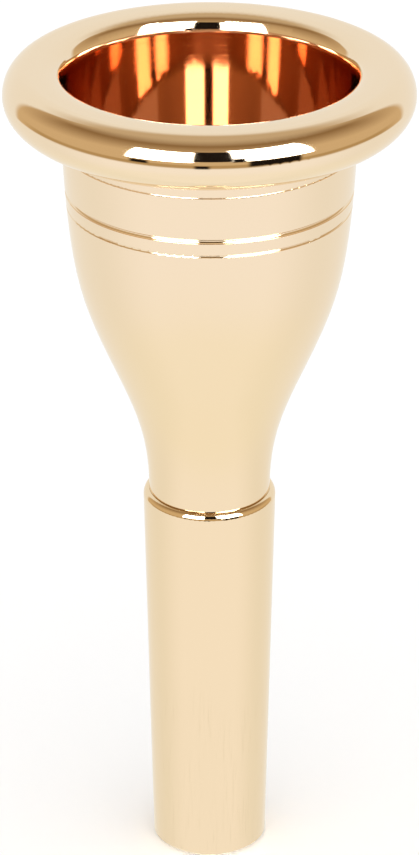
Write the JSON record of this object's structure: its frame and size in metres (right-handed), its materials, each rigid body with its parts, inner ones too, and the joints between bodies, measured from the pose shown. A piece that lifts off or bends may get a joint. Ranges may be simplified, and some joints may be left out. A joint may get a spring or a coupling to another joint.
{
  "type": "tuba mouthpiece",
  "caption": "Gold-plated brass tuba mouthpiece: wide rounded screw rim, bell-shaped cup with fine turned grooves, and a stepped tapered shank, with screw joints and sealing rings.",
  "frame": {"origin": "on the axis, in the plane of the shank's open end, which is the face it stands on", "axes": "+Z along the axis from the shank's open end up to the rim; X and Y are free, as the piece is round"},
  "size_m": [0.045, 0.045, 0.096],
  "materials": {
    "rim_gold": "mirror-polished gold plate over brass",
    "cup_gold": "bright polished gold plate over brass, fine turned grooves",
    "shank_gold": "bright polished gold plate over brass",
    "seal_rubber": "matte black nitrile"
  },
  "bodies": {
    "shank": {"shank": "shank_gold"},
    "stem_seal": {"stem_seal": "seal_rubber"},
    "cup": {"cup": "cup_gold"},
    "rim_seal": {"rim_seal": "seal_rubber"},
    "rim": {"rim": "rim_gold"}
  },
  "joints": [
    {"name": "cup_rise", "type": "slide", "parent": "shank", "child": "stem_seal", "axis": [0, 0, 1], "range_m": [0, 0.005]},
    {"name": "cup_turn", "type": "hinge", "parent": "stem_seal", "child": "cup", "pos_m": [0, 0, 0.04], "axis": [0, 0, 1], "range_deg": [0, 2400]},
    {"name": "rim_rise", "type": "slide", "parent": "cup", "child": "rim_seal", "axis": [0, 0, 1], "range_m": [0, 0.00225]},
    {"name": "rim_turn", "type": "hinge", "parent": "rim_seal", "child": "rim", "pos_m": [0, 0, 0.0905], "axis": [0, 0, 1], "range_deg": [0, 1080]}
  ],
  "couplings": [
    {"joint": "cup_rise", "follows": "cup_turn", "m_per_rad": 0.00011937},
    {"joint": "rim_rise", "follows": "rim_turn", "m_per_rad": 0.00011937}
  ]
}
